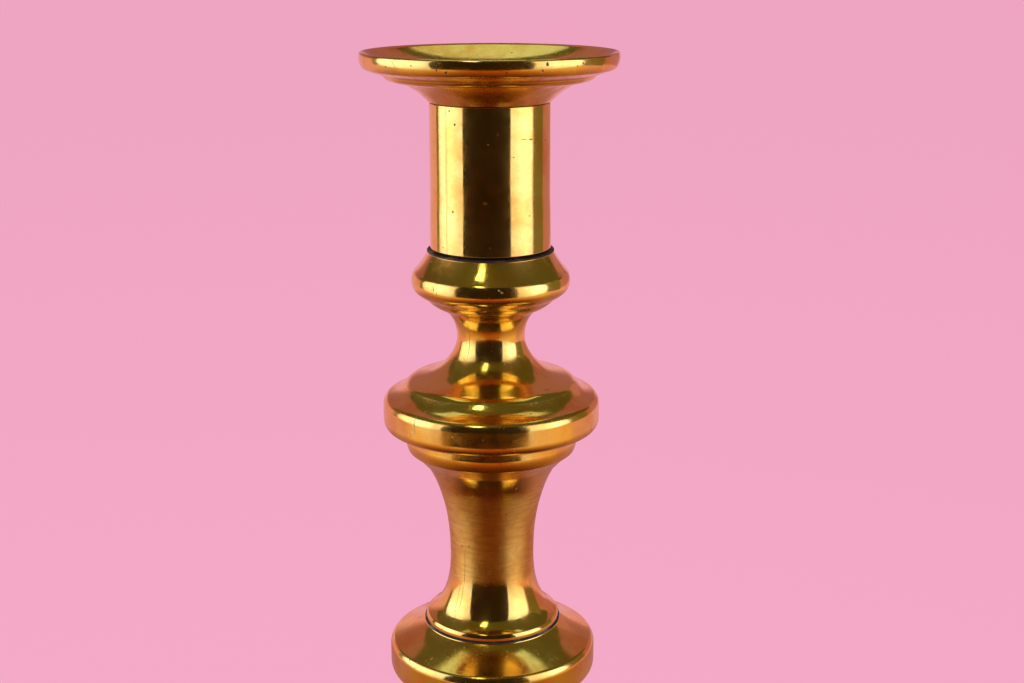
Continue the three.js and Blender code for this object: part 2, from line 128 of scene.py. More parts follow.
class Outline:
    """A closed outline, drawn anticlockwise by steps from its last point. Its stretches are Bezier curves."""

    def __init__(self, radius, height):
        self.point = np.array((radius, height), float)
        self.stretches = []
        self.finishes = []
        self.rounds = {}
        self.finish = "core"

    def add(self, *points):
        self.stretches.append(np.array([self.point, *points], float))
        self.finishes.append(self.finish)
        self.point = self.stretches[-1][-1]
        return self

    def line_to(self, radius, height):
        return self.add((radius, height))

    def line_by(self, outwards, upwards):
        return self.add(self.point + (outwards, upwards))

    def bow(self, radius, height, name):
        end = np.array((radius, height), float)
        return self.add(self.point + (end - self.point) * BOWS[name], end)

    def bend(self, radius, height, name):
        end = np.array((radius, height), float)
        handles = np.array(BENDS[name]).reshape(2, 2)
        return self.add(*(self.point + (end - self.point) * handles), end)

    def soften(self, size):
        """Rounds the corner at the last point by this length instead of the usual arris."""
        self.rounds[len(self.stretches)] = size
        return self

    def close(self):
        return self.add(self.stretches[0][0])

    @classmethod
    def with_register(cls):
        """Starts a section with its bore and the bevelled spigot that drops into the recess below it."""
        outline = cls(FIT.rod_bore, -FIT.register_length)
        outline.line_to(FIT.register - FIT.bevel, -FIT.register_length)
        outline.line_to(FIT.register, FIT.bevel - FIT.register_length)
        return outline.line_to(FIT.register, 0)

    def recess(self, height):
        """The recess in the top, into which the next section's spigot drops."""
        self.line_to(FIT.recess, height)
        self.finish = "core"
        self.line_to(FIT.recess, height - FIT.recess_depth)
        return self.line_to(FIT.rod_bore, height - FIT.recess_depth)

    def plug(self, core, height):
        """The plug on the top, which goes into the core of the next section."""
        self.line_to(core - FIT.plug_gap, height)
        self.finish = "core"
        self.line_by(0, FIT.plug_length - FIT.bevel)
        self.line_by(-FIT.bevel, FIT.bevel)
        return self.line_to(FIT.rod_bore, height + FIT.plug_length)

    def core(self, core, height):
        """The bore from the top down to the roof of the core, and the core below it."""
        self.line_to(FIT.rod_bore, height - FIT.core_roof)
        self.line_to(core, height - FIT.core_roof)
        return self.close()


def bezier(controls, share):
    """Point and direction at a share of the way along a Bezier curve."""
    while len(controls) > 2:
        controls = controls[:-1] + (controls[1:] - controls[:-1]) * share
    step = controls[1] - controls[0]
    return controls[0] + step * share, step


def turn_between(first, second):
    cross = first[0] * second[1] - first[1] * second[0]
    return abs(math.atan2(cross, first @ second))


def sample(outline):
    """Points, outward normals and finishes along an outline, with its corners rounded to small arrises."""
    count = len(outline.stretches)
    starts, ends, corners = [0.0] * count, [1.0] * count, {}
    for place in range(count):
        before, after = outline.stretches[place - 1], outline.stretches[place]
        leave, arrive = before[-1] - before[-2], after[1] - after[0]
        if turn_between(leave, arrive) > CORNER_TURN:
            size = outline.rounds.get(place, ARRIS)
            spans = [np.linalg.norm(curve[-1] - curve[0]) for curve in (before, after)]
            size = min(size, CORNER_SHARE * min(spans))
            ends[place - 1] = 1 - size / (np.linalg.norm(leave) * (len(before) - 1))
            starts[place] = size / (np.linalg.norm(arrive) * (len(after) - 1))
            corners[place] = before[-1]
    points, normals, finishes = [], [], []

    def trace(controls, start, end, finish):
        turn = turn_between(bezier(controls, start)[1], bezier(controls, end)[1])
        chords = max(1 if len(controls) == 2 else CURVE_CHORDS, math.ceil(turn / CHORD_TURN))
        for step in range(chords):
            point, direction = bezier(controls, start + (end - start) * step / chords)
            points.append(point)
            normals.append(np.array((direction[1], -direction[0])) / np.linalg.norm(direction))
            finishes.append(finish)
        return bezier(controls, end)

    for place, controls in enumerate(outline.stretches):
        finish = outline.finishes[place]
        last = trace(controls, starts[place], ends[place], finish)[0]
        following = (place + 1) % count
        if following in corners:
            first = bezier(outline.stretches[following], starts[following])[0]
            trace(np.array([last, corners[following], first]), 0, 1, finish)
    return np.array(points), np.array(normals), finishes


def mesh_piece(name, vertices, faces, normals, materials, finishes, body=BODY, slot="polished_brass"):
    """A smooth mesh piece, in metres, that rides on a body. finishes are the faces' places in materials."""
    mesh = bpy.data.meshes.new(name)
    mesh.from_pydata([tuple(v) for v in vertices], [], faces)
    for material in materials:
        mesh.materials.append(material)
    mesh.polygons.foreach_set("use_smooth", [True] * len(mesh.polygons))
    mesh.polygons.foreach_set("material_index", finishes)
    mesh.update()
    mesh.normals_split_custom_set_from_vertices([tuple(n) for n in normals])
    piece = bpy.data.objects.new(name, mesh)
    bpy.context.scene.collection.objects.link(piece)
    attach(piece, body)
    return piece


def ring_faces(rows, columns):
    """Quads of a grid that closes on itself round the axis and along the outline."""
    faces = []
    for row in range(rows):
        above = (row + 1) % rows
        for column in range(columns):
            beside = (column + 1) % columns
            faces.append((
                row * columns + column, row * columns + beside,
                above * columns + beside, above * columns + column,
            ))
    return faces


def revolve(name, outline, seat, materials, **options):
    """Sweeps an outline round the axis, at a seat height in millimetres. materials go by finish."""
    points, slopes, finishes = sample(outline)
    angles = np.arange(SEGMENTS) * 2 * math.pi / SEGMENTS
    round_x, round_y = np.cos(angles), np.sin(angles)
    vertices = np.empty((len(points), SEGMENTS, 3))
    vertices[..., 0] = points[:, :1] * round_x * MM
    vertices[..., 1] = points[:, :1] * round_y * MM
    vertices[..., 2] = (points[:, 1:] + seat) * MM
    normals = np.empty_like(vertices)
    normals[..., 0] = slopes[:, :1] * round_x
    normals[..., 1] = slopes[:, :1] * round_y
    normals[..., 2] = slopes[:, 1:]
    names = list(materials)
    places = np.repeat([names.index(finish) for finish in finishes], SEGMENTS)
    faces = ring_faces(len(points), SEGMENTS)
    return mesh_piece(
        name, vertices.reshape(-1, 3), faces, normals.reshape(-1, 3), list(materials.values()), places,
        **options,
    )


def seat_of(node, below):
    """Height of a node's seat in millimetres, for a node that reaches this far below it."""
    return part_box(node)[0].z / MM + below


# Outlines of the turned pieces, each from its seat up

def pan_outline():
    ring_top = PAN.cup_height + PAN.ring_height
    rim_bottom = ring_top + PAN.underside_rise
    rim_side = rim_bottom + PAN.rim_foot
    rim_top = rim_side + PAN.rim_height
    outline = Outline(FIT.candle_bore, -PAN.spigot_length)
    outline.line_to(FIT.spigot - FIT.bevel, -PAN.spigot_length)
    outline.line_to(FIT.spigot, FIT.bevel - PAN.spigot_length)
    outline.line_to(FIT.spigot, 0)
    outline.finish = "polished"
    outline.line_to(FIT.barrel_foot, 0)
    outline.bow(PAN.cup, PAN.cup_height, "flare")
    outline.line_to(PAN.ring - PAN.ring_inset, PAN.cup_height + PAN.draft)
    outline.bow(PAN.ring, ring_top, "ovolo")
    outline.line_to(PAN.rim - PAN.rim_tuck - PAN.round_below, rim_bottom)
    outline.bow(PAN.rim - PAN.rim_tuck, rim_side, "rim_foot")
    outline.bow(PAN.rim, rim_top - PAN.shoulder, "rim_face")
    outline.bow(PAN.rim - PAN.round_above, rim_top, "level")
    outline.line_by(-PAN.lip_width, -PAN.lip_drop)
    outline.bend(FIT.candle_bore + PAN.throat_bevel, rim_top - PAN.dish_depth, "dish")
    outline.line_by(-PAN.throat_bevel, -PAN.throat_bevel)
    outline.finish = "core"
    return outline.close()


def barrel_outline():
    outline = Outline.with_register()
    outline.line_to(FIT.barrel_foot - BARREL.groove, 0)
    outline.finish = "polished"
    outline.line_to(FIT.barrel_foot, BARREL.groove)
    outline.bow(FIT.barrel, BARREL.groove + BARREL.swell_height, "band_top")
    outline.line_to(FIT.barrel, BARREL.height - FIT.bevel)
    outline.finish = "grime"
    outline.line_to(FIT.barrel - FIT.bevel, BARREL.height)
    outline.finish = "core"
    outline.line_to(FIT.barrel_bore, BARREL.height)
    outline.line_to(FIT.barrel_bore, BARREL.floor)
    outline.line_to(FIT.rod_bore, BARREL.floor)
    return outline.close()


def upper_outline():
    waist_height = UPPER.foot_rise + UPPER.below
    ring_foot = waist_height + UPPER.above
    ring_top = ring_foot + UPPER.ring_height
    knop_widest = ring_top + UPPER.knop_below
    knop_top = knop_widest + UPPER.knop_above
    outline = Outline.with_register()
    outline.line_to(UPPER.foot, 0)
    outline.finish = "polished"
    outline.soften(FLUSH).bend(UPPER.foot - UPPER.edge_inset, UPPER.edge_height, "foot_edge")
    outline.bow(UPPER.foot_top, UPPER.foot_rise, "foot_flank")
    outline.bend(UPPER.waist, waist_height, "waist_below")
    outline.bend(UPPER.ring - UPPER.ring_inset, ring_foot, "waist_above")
    outline.bow(UPPER.ring, ring_top, "small_ring")
    outline.bend(UPPER.knop, knop_widest, "knop_below")
    outline.bend(UPPER.knop - UPPER.knop_inset, knop_top, "knop_above")
    lip_height = knop_top + UPPER.cove_height
    outline.bend(UPPER.lip, lip_height - GRIME_RING.height, "cove")
    outline.finish = "grime"
    outline.line_by(GRIME_RING.lip, GRIME_RING.lip_rise)
    outline.line_to(UPPER.lip + GRIME_RING.lip, lip_height)
    outline.recess(lip_height)
    return outline.close()


def knop_outline(knop):
    """A shoulder over a plain band and a stepped ring, cored out from below."""
    band_foot = knop.under + knop.ring_height + knop.step + knop.round_below
    band_top = band_foot + knop.band_height + knop.round_above
    shoulder_top = band_top + knop.shoulder_rise
    height = shoulder_top + knop.lip
    outline = Outline(knop.core, 0)
    outline.line_to(knop.seat + FIT.seat_step, 0)
    outline.finish = "polished"
    outline.bow(knop.ring - knop.taper, knop.under, "under_ring")
    outline.bow(knop.ring, knop.under + knop.ring_round, "ring_wall")
    outline.bow(knop.ring - knop.ring_lean, knop.under + knop.ring_height, "upright")
    outline.line_to(knop.band - knop.undercut, band_foot - knop.round_below)
    outline.bend(knop.band, band_foot, "band_foot")
    outline.line_by(0, knop.band_height)
    outline.bend(knop.band - knop.inset, band_top, "band_corner")
    outline.bend(knop.top, shoulder_top, knop.shoulder)
    if knop.lip:
        outline.finish = "grime"
        outline.line_by(0, knop.lip)
        outline.finish = "polished"
    return outline, height


def wide_outline():
    outline, height = knop_outline(WIDE)
    outline.soften(FLUSH).recess(height)
    return outline.core(WIDE.core, height)


def lower_outline():
    outline, height = knop_outline(LOWER)
    outline.plug(FIT.neck_core, height)
    return outline.core(LOWER.core, height)


def shaft_outline(shaft):
    """A bell mouth, a waist and a spreading head under a plug, cored out from below."""
    waist_height = shaft.lip + shaft.bead_height + shaft.below
    height = waist_height + shaft.above + shaft.rise
    outline = Outline(shaft.core, 0)
    outline.finish = "grime"
    outline.line_to(shaft.mouth + GRIME_RING.mouth, 0)
    outline.line_by(0, GRIME_RING.mouth_edge)
    outline.line_to(shaft.mouth, GRIME_RING.mouth_rise)
    outline.finish = "polished"
    outline.line_to(shaft.mouth, shaft.lip)
    outline.bow(shaft.mouth - shaft.bead, shaft.lip + shaft.bead_height, "bead")
    outline.bend(shaft.waist, waist_height, "shaft_below")
    outline.bend(shaft.throat, waist_height + shaft.above, "shaft_above")
    outline.bow(shaft.head, height, "head")
    outline.plug(shaft.plug_core, height)
    return outline.core(shaft.core, height)


def collar_outline():
    outline = Outline.with_register()
    outline.line_to(COLLAR.neck, 0)
    outline.finish = "polished"
    outline.line_to(COLLAR.neck, COLLAR.neck_height)
    outline.bow(COLLAR.radius, COLLAR.height / 2, "steep")
    outline.bow(COLLAR.neck, COLLAR.height - COLLAR.neck_height, "level")
    outline.line_to(COLLAR.neck, COLLAR.height)
    outline.plug(FIT.stem_core, COLLAR.height)
    return outline.close()


def base_outline():
    ledge = BASE.band_height + BASE.step_height
    cove_top = ledge + BASE.cove_rise
    step_top = cove_top + BASE.dome_step
    flank_top = step_top + BASE.flank_rise
    inner_foot = BASE.radius - BASE.ring_width
    roof = BASE.height - BASE.crown
    outline = Outline(inner_foot, 0)
    outline.line_to(BASE.radius - BASE.band_round / 2, 0)
    outline.finish = "polished"
    outline.line_to(BASE.radius, BASE.band_round / 2)
    outline.line_to(BASE.radius, BASE.band_height - BASE.band_round)
    outline.bow(BASE.radius - BASE.band_round, BASE.band_height, "level")
    outline.line_to(BASE.radius - BASE.ledge, BASE.band_height)
    outline.line_to(BASE.radius - BASE.ledge, ledge)
    outline.bend(BASE.cove, cove_top, "foot_cove")
    outline.line_to(BASE.dome, cove_top)
    outline.line_to(BASE.dome, step_top)
    outline.bend(BASE.flank, flank_top, "dome")
    outline.bend(BASE.neck, BASE.height, "dome_neck")
    outline.recess(BASE.height)
    outline.line_to(FIT.rod_bore, roof)
    outline.line_to(BASE.neck - BASE.wall, roof)
    outline.line_to(BASE.flank - BASE.wall, flank_top - BASE.wall)
    outline.bow(BASE.dome - BASE.wall, step_top, "upright")
    outline.line_to(BASE.dome - BASE.wall, cove_top - BASE.wall)
    outline.line_to(BASE.cove - BASE.wall, cove_top - BASE.wall)
    outline.bow(inner_foot, BASE.band_height - BASE.wall, "shallow")
    return outline.close()


# Materials

YELLOW_BRASS = (0.87, 0.66, 0.13, 1)
ORANGE_BRASS = (0.8, 0.48, 0.07, 1)
BROWN_BRASS = (0.5, 0.28, 0.05, 1)
# Colour of the dark marks: pits and smudges on the brass, and painted reflection in the long thin upright
# streaks
GRIME_AND_DARK_REFLECTION = (0.03, 0.024, 0.014, 1)
BLACK_GRIME = (0.012, 0.01, 0.007, 1)
DRIED_GRIME = (0.12, 0.11, 0.08, 1)
INNER_BRASS = (0.42, 0.29, 0.12, 1)
INNER_TARNISH = (0.2, 0.12, 0.05, 1)
INNER_DIRT = (0.1, 0.09, 0.06, 1)
STEEL_GREY = (0.2, 0.19, 0.18, 1)
RUST = (0.16, 0.08, 0.04, 1)

# Noise runs from nought to one round this middle. Its scale is its fineness per millimetre, and its depth in
# the relief of the polished brass is in millimetres.
NOISE_MIDDLE = 0.5
SCALES = Sizes(
    fine_lines=5.0, broad_lines=1.1, streaks=2.0, waves=0.11, ripple=0.45, grain=3.2, pits=0.55,
    scratches=0.5,
)
DEPTHS = Sizes(
    waves=0.06, ripple=0.006, broad_lines=0.0016, fine_lines=0.0007, grain=0.0003, scratches=-0.002,
    marks=-0.05,
)

# Polished brass. A pair of numbers is where something begins and where it is full, and two more after them
# are how much of it there is at those two. The other numbers are shares and roughnesses.
BRASS = Sizes(
    tarnish=(0.55, 0.95), ripple_in_tarnish=0.4, speckles=(0.5, 0.9, 0.0, 0.25), facing_down=(-0.15, -0.6),
    underside_patches=(0.2, 0.7, 0.6, 1.0), underside_tarnish=0.45, underside_roughness=0.06,
    mark_darkness=0.85, mark_dirt=0.3, mark_roughness=0.4, scratch_roughness=0.12, cloud=(0.5, 1.0),
    waves_in_cloud=0.5, cloud_roughness=0.08, haze=(0.35, 1.1, 0.04, 0.18), grain_in_haze=0.4,
    haze_roughness=0.38, quarter_turn=0.25,
)
WORN = Sizes(fade=4.0, streaks=(0.4, 0.62), patches=(0.45, 0.65), tarnish=0.4)

# Pits by the chance of their cell, and their size in cells; scratches by their noise, each direction with its
# turn in radians and its stretch; and the edge of the marks in FLAWS_AND_MIRRORED_STREAKS
PITS = (0.75, 1.0, 0.0, 0.13)
SCRATCHES = (0.68, 0.76)
SCRATCH_DIRECTIONS = (((0.4, 0.9, 0.2), (0.12, 5, 5)), ((1.1, 0.3, 0.8), (5, 0.1, 5)))
MARK_EDGE = (1.3, 0.4)
MARK_RAGGEDNESS = 1.6

# The other materials, in the same way: patches, crumbs, grain and lines are scales of noise
CAKED = Sizes(
    patches=0.25, crumbs=4.0, crumbs_in_patches=0.3, dried=(0.68, 0.8), roughness=(0.3, 0.7, 0.45, 0.8),
    crumb_depth=0.08,
)
INNER = Sizes(
    lines=2.0, patches=0.2, grain=2.5, tarnish=(0.35, 0.65), dirt=(0.55, 0.75, 0.0, 0.5), metallic=0.85,
    roughness=(0.3, 0.7, 0.38, 0.6), line_depth=0.03, grain_depth=0.02,
)
STEEL = Sizes(
    patches=0.35, grain=3.0, rust=(0.5, 0.7), metallic=(0.5, 0.7, 1.0, 0.5), roughness=(0.3, 0.7, 0.35, 0.6),
    grain_depth=0.02,
)


class Shader:
    """A material, or a world, whose nodes are made and linked by short calls."""

    def __init__(self, name, library=None):
        if library is None:
            library = bpy.data.materials
        self.owner = library.new(name)
        self.owner.use_nodes = True
        self.tree = self.owner.node_tree
        self.tree.nodes.clear()

    def node(self, kind, inputs=None, **settings):
        node = self.tree.nodes.new("ShaderNode" + kind)
        for key, value in settings.items():
            setattr(node, key, value)
        for key, value in (inputs or {}).items():
            if isinstance(value, bpy.types.NodeSocket):
                self.tree.links.new(value, node.inputs[key])
            else:
                node.inputs[key].default_value = value
        return node

    def math(self, operation, *values):
        return self.node("Math", dict(enumerate(values)), operation=operation).outputs[0]

    def plus(self, value, part, amount):
        """A value with an amount of another one added to it."""
        return self.math("ADD", value, self.math("MULTIPLY", part, amount))

    def band(self, value, low, high, to_low=0.0, to_high=1.0):
        """A value mapped from one range to another, smoothly and clamped."""
        inputs = {"Value": value, "From Min": low, "From Max": high, "To Min": to_low, "To Max": to_high}
        return self.node("MapRange", inputs, interpolation_type="SMOOTHSTEP").outputs[0]

    def blend(self, share, first, second):
        inputs = {0: share, 6: first, 7: second}
        return self.node("Mix", inputs, data_type="RGBA").outputs[2]

    def noise(self, vector, scale, detail=2.0, **inputs):
        values = {"Vector": vector, "Scale": scale, "Detail": detail, **inputs}
        settings = {"noise_dimensions": "4D"} if "W" in inputs else {}
        return self.node("TexNoise", values, **settings).outputs[0]

    def place(self):
        """The place on the object in millimetres, its radius from the axis and its three parts."""
        coordinates = self.node("TexCoord").outputs["Object"]
        scaled = self.node("VectorMath", {0: coordinates, "Scale": 1 / MM}, operation="SCALE").outputs[0]
        flat = self.node("VectorMath", {0: scaled, 1: (1, 1, 0)}, operation="MULTIPLY").outputs[0]
        radius = self.node("VectorMath", {0: flat}, operation="LENGTH").outputs["Value"]
        parts = self.node("SeparateXYZ", {0: scaled})
        return scaled, flat, radius, parts.outputs

    def turning(self, flat, height):
        """The place for turning lines, which change with height and radius and hardly along the round."""
        around = self.node("VectorMath", {0: flat}, operation="NORMALIZE").outputs[0]
        rise = self.node("CombineXYZ", {2: height}).outputs[0]
        return self.node("VectorMath", {0: around, 1: rise}, operation="ADD").outputs[0]

    def lines(self, turned, radius, scale, detail=2.0):
        return self.noise(turned, scale, detail, W=self.math("MULTIPLY", radius, scale))

    def relief(self, *parts):
        """A bumpy normal, from pairs of a value and its depth in millimetres."""
        total = None
        for value, depth in parts:
            value = self.math("MULTIPLY", value, depth * MM)
            total = value if total is None else self.math("ADD", total, value)
        return self.node("Bump", {"Height": total, "Distance": 1.0, "Strength": 1.0}).outputs[0]

    def seen(self):
        """One where the camera, a polished surface or glass looks straight at this, otherwise nought."""
        path = self.node("LightPath").outputs
        direct = self.math("MAXIMUM", path["Is Camera Ray"], path["Is Glossy Ray"])
        return self.math("MAXIMUM", direct, path["Is Transmission Ray"])

    def glowing(self, colour, strength=1.0):
        return self.node("Emission", {"Color": colour, "Strength": strength}).outputs[0]

    def mixed(self, share, first, second):
        return self.node("MixShader", {0: share, 1: first, 2: second}).outputs[0]

    def finish(self, surface, output="OutputMaterial"):
        self.tree.links.new(surface, self.node(output).inputs["Surface"])
        return self.owner


def pits_of(shader, spot):
    """Small pits, and few: each cell of the surface has its own chance of one."""
    cells = shader.node("TexVoronoi", {"Vector": spot, "Scale": SCALES.pits}).outputs
    chance = shader.node("SeparateColor", {0: cells["Color"]}).outputs[0]
    return shader.math("LESS_THAN", cells["Distance"], shader.band(chance, *PITS))


def scratches_of(shader, spot):
    """Streaks of stretched noise in two directions."""
    streaks = []
    for tilt, squeeze in SCRATCH_DIRECTIONS:
        mapped = shader.node("Mapping", {"Vector": spot, "Rotation": tilt, "Scale": squeeze}).outputs[0]
        streaks.append(shader.band(shader.noise(mapped, SCALES.scratches, detail=1.0), *SCRATCHES))
    return shader.math("MAXIMUM", *streaks)


def polished_brass(name, roughness=0.05, brushed=0.35, flaws_and_streaks=(), worn=None):
    """Old polished brass: fine turning lines, slight waves, pits, scratches, tarnish and the marks named.

    flaws are rows as in FLAWS_AND_MIRRORED_STREAKS. worn is the lower and the upper end, in millimetres, of a stretch that was
    brushed and is no longer bright, and the roughness that this added.
    """
    shader = Shader(name)
    spot, flat, radius, (across, deep, height) = shader.place()
    turned = shader.turning(flat, height)
    fine_lines = shader.lines(turned, radius, SCALES.fine_lines)
    broad_lines = shader.lines(turned, radius, SCALES.broad_lines, detail=1.0)
    waves = shader.noise(spot, SCALES.waves, detail=1.0)
    ripple = shader.noise(spot, SCALES.ripple)
    grain = shader.noise(spot, SCALES.grain, detail=3.0)
    scratches = scratches_of(shader, spot)
    facing = shader.node("SeparateXYZ", {0: shader.node("TexCoord").outputs["Normal"]}).outputs[2]
    # Browner and rougher in patches where the surface faces down
    underside = shader.band(ripple, *BRASS.underside_patches)
    underside = shader.math("MULTIPLY", shader.band(facing, *BRASS.facing_down), underside)

    marks = pits_of(shader, spot)
    angle = shader.math("ARCTAN2", across, shader.math("MULTIPLY", deep, -1.0))
    wobble = shader.math("MULTIPLY", shader.math("SUBTRACT", grain, NOISE_MIDDLE), MARK_RAGGEDNESS)
    for degrees, level, half_width, half_height, strength in flaws_and_streaks:
        sideways = shader.math("MULTIPLY", shader.math("SUBTRACT", angle, math.radians(degrees)), radius)
        sideways = shader.math("DIVIDE", sideways, half_width)
        upwards = shader.math("DIVIDE", shader.math("SUBTRACT", height, level), half_height)
        square = shader.math("ADD", shader.math("POWER", sideways, 2.0), shader.math("POWER", upwards, 2.0))
        near = shader.band(shader.math("ADD", square, wobble), *MARK_EDGE, 0.0, strength)
        marks = shader.math("MAXIMUM", marks, near)

    roughening = [
        (marks, BRASS.mark_roughness), (scratches, BRASS.scratch_roughness),
        (underside, BRASS.underside_roughness),
    ]
    tarnish = shader.band(shader.plus(waves, ripple, BRASS.ripple_in_tarnish), *BRASS.tarnish)
    tint = shader.blend(tarnish, YELLOW_BRASS, ORANGE_BRASS)
    tint = shader.blend(shader.band(grain, *BRASS.speckles), tint, BROWN_BRASS)
    if worn:
        low, high, dullness = worn
        above_low = shader.band(height, low - WORN.fade, low)
        below_high = shader.band(height, high + WORN.fade, high)
        inside = shader.math("MULTIPLY", above_low, below_high)
        streaks = shader.band(shader.lines(turned, radius, SCALES.streaks), *WORN.streaks)
        stain = shader.math("MAXIMUM", streaks, shader.band(ripple, *WORN.patches))
        stain = shader.math("MULTIPLY", inside, stain)
        tint = shader.blend(shader.math("MULTIPLY", stain, WORN.tarnish), tint, BROWN_BRASS)
        roughening.insert(0, (inside, dullness))
    tint = shader.blend(shader.math("MULTIPLY", underside, BRASS.underside_tarnish), tint, BROWN_BRASS)
    # The marks darken the brass and dull its metal: pits and smudges, and painted reflection in the long
    # upright streaks.
    tint = shader.blend(shader.math("MULTIPLY", marks, BRASS.mark_darkness), tint, GRIME_AND_DARK_REFLECTION)
    metal = shader.math("SUBTRACT", 1.0, shader.math("MULTIPLY", marks, BRASS.mark_dirt))

    cloud = shader.plus(ripple, waves, BRASS.waves_in_cloud)
    rough = shader.band(cloud, *BRASS.cloud, roughness, roughness + BRASS.cloud_roughness)
    for part, amount in roughening:
        rough = shader.plus(rough, part, amount)

    bump = shader.relief(
        (waves, DEPTHS.waves), (ripple, DEPTHS.ripple), (broad_lines, DEPTHS.broad_lines),
        (fine_lines, DEPTHS.fine_lines), (grain, DEPTHS.grain), (scratches, DEPTHS.scratches),
        (marks, DEPTHS.marks),
    )
    tangent = shader.node("Tangent", direction_type="RADIAL", axis="Z").outputs[0]
    inputs = {
        "Base Color": tint, "Metallic": metal, "Roughness": rough, "Normal": bump,
        "Anisotropic": brushed, "Anisotropic Rotation": BRASS.quarter_turn, "Tangent": tangent,
    }
    polish = shader.node("BsdfPrincipled", inputs).outputs[0]
    haze = shader.node("BsdfPrincipled", {**inputs, "Roughness": BRASS.haze_roughness}).outputs[0]
    share = shader.band(shader.plus(ripple, grain, BRASS.grain_in_haze), *BRASS.haze)
    return shader.finish(shader.mixed(share, polish, haze))


def caked_grime(name):
    """Old polish and dirt caked in a joint: black and crumbly, paler where it has dried."""
    shader = Shader(name)
    spot = shader.place()[0]
    patches = shader.noise(spot, CAKED.patches, detail=3.0)
    crumbs = shader.noise(spot, CAKED.crumbs, detail=4.0)
    dried = shader.band(shader.plus(patches, crumbs, CAKED.crumbs_in_patches), *CAKED.dried)
    inputs = {
        "Base Color": shader.blend(dried, BLACK_GRIME, DRIED_GRIME),
        "Roughness": shader.band(crumbs, *CAKED.roughness),
        "Normal": shader.relief((crumbs, CAKED.crumb_depth)),
    }
    return shader.finish(shader.node("BsdfPrincipled", inputs).outputs[0])


def dull_brass(name):
    """Inner brass that was turned and never polished: coarse tool marks and a brown, uneven tarnish."""
    shader = Shader(name)
    spot, flat, radius, parts = shader.place()
    lines = shader.lines(shader.turning(flat, parts[2]), radius, INNER.lines)
    patches = shader.noise(spot, INNER.patches, detail=4.0)
    grain = shader.noise(spot, INNER.grain, detail=4.0)
    colour = shader.blend(shader.band(patches, *INNER.tarnish), INNER_BRASS, INNER_TARNISH)
    inputs = {
        "Base Color": shader.blend(shader.band(grain, *INNER.dirt), colour, INNER_DIRT),
        "Metallic": INNER.metallic,
        "Roughness": shader.band(patches, *INNER.roughness),
        "Normal": shader.relief((lines, INNER.line_depth), (grain, INNER.grain_depth)),
    }
    return shader.finish(shader.node("BsdfPrincipled", inputs).outputs[0])


def dark_steel(name):
    """Dull darkened steel with a little brown rust."""
    shader = Shader(name)
    spot = shader.place()[0]
    patches = shader.noise(spot, STEEL.patches, detail=5.0)
    grain = shader.noise(spot, STEEL.grain, detail=4.0)
    inputs = {
        "Base Color": shader.blend(shader.band(patches, *STEEL.rust), STEEL_GREY, RUST),
        "Metallic": shader.band(patches, *STEEL.metallic),
        "Roughness": shader.band(grain, *STEEL.roughness),
        "Normal": shader.relief((grain, STEEL.grain_depth)),
    }
    return shader.finish(shader.node("BsdfPrincipled", inputs).outputs[0])


# Marks seen in the photo: degrees to the right of the front, then height, half width and half height in
# millimetres, and how dark they are
# The long thin upright streaks, some 38 to 46 degrees to the left of the front, are painted reflection: a
# dark strip beside the light on the left, as the brass would mirror it.
FLAWS_AND_MIRRORED_STREAKS = {
    "drip_pan": (
        (-49, 277.8, 0.3, 0.3, 0.8), (-22, 277.8, 0.25, 0.25, 0.8), (-18, 277.3, 0.35, 0.3, 0.9),
        (22, 277.6, 0.3, 0.3, 0.8), (24, 279.0, 0.35, 0.45, 1.0), (16, 279.9, 0.5, 0.25, 0.8),
        (-34, 278.5, 0.2, 0.2, 0.6), (39, 278.2, 0.2, 0.25, 0.6),
    ),
    "socket_barrel": (
        (-34, 264.6, 0.25, 0.3, 0.9), (-37, 244.9, 0.25, 0.3, 0.8), (33, 261.3, 0.9, 0.07, 0.7),
        (41, 261.2, 0.6, 0.12, 0.8), (-2, 260.4, 0.25, 0.2, 0.5), (-5, 247.2, 0.5, 0.3, 0.35),
        # Painted reflection: this long thin upright streak stands for a mirrored dark strip.
        (-46, 255.0, 0.06, 8.0, 0.3),
    ),
    "upper_stem": (
        (-44, 227.5, 0.12, 0.6, 0.7), (-41, 226.5, 0.1, 0.5, 0.6), (6, 228.3, 0.25, 0.25, 0.7),
        # The second mark below is painted reflection, a long thin upright streak for a mirrored dark strip.
        (8, 227.8, 0.3, 0.25, 0.7), (-38, 213.5, 0.07, 4.5, 0.6), (-74, 203.2, 1.6, 0.08, 0.6),
        (46, 203.3, 1.2, 0.1, 0.6),
    ),
    "wide_knop": (
        # The first mark below is painted reflection, an upright streak for a mirrored dark strip.
        (-43, 196.5, 0.3, 2.6, 0.45), (12, 193.4, 0.3, 0.15, 0.5), (-20, 195.8, 0.2, 0.2, 0.4),
    ),
    "neck": (
        # The first two marks below are painted reflection, long thin upright streaks for a mirrored dark
        # strip.
        (-40, 157.0, 0.1, 4.5, 0.5), (-41, 149.5, 0.1, 3.0, 0.4), (-6, 157.2, 0.9, 0.12, 0.3),
        (24, 179.1, 0.3, 0.35, 0.8), (30, 176.4, 0.25, 0.35, 0.7), (26, 177.6, 0.15, 0.2, 0.6),
        (-44, 180.8, 1.3, 0.7, 0.35),
    ),
    "lower_knop": ((-41, 137.3, 0.2, 0.2, 0.6), (33, 138.4, 0.2, 0.2, 0.6), (60, 137.5, 0.25, 0.2, 0.6)),
}


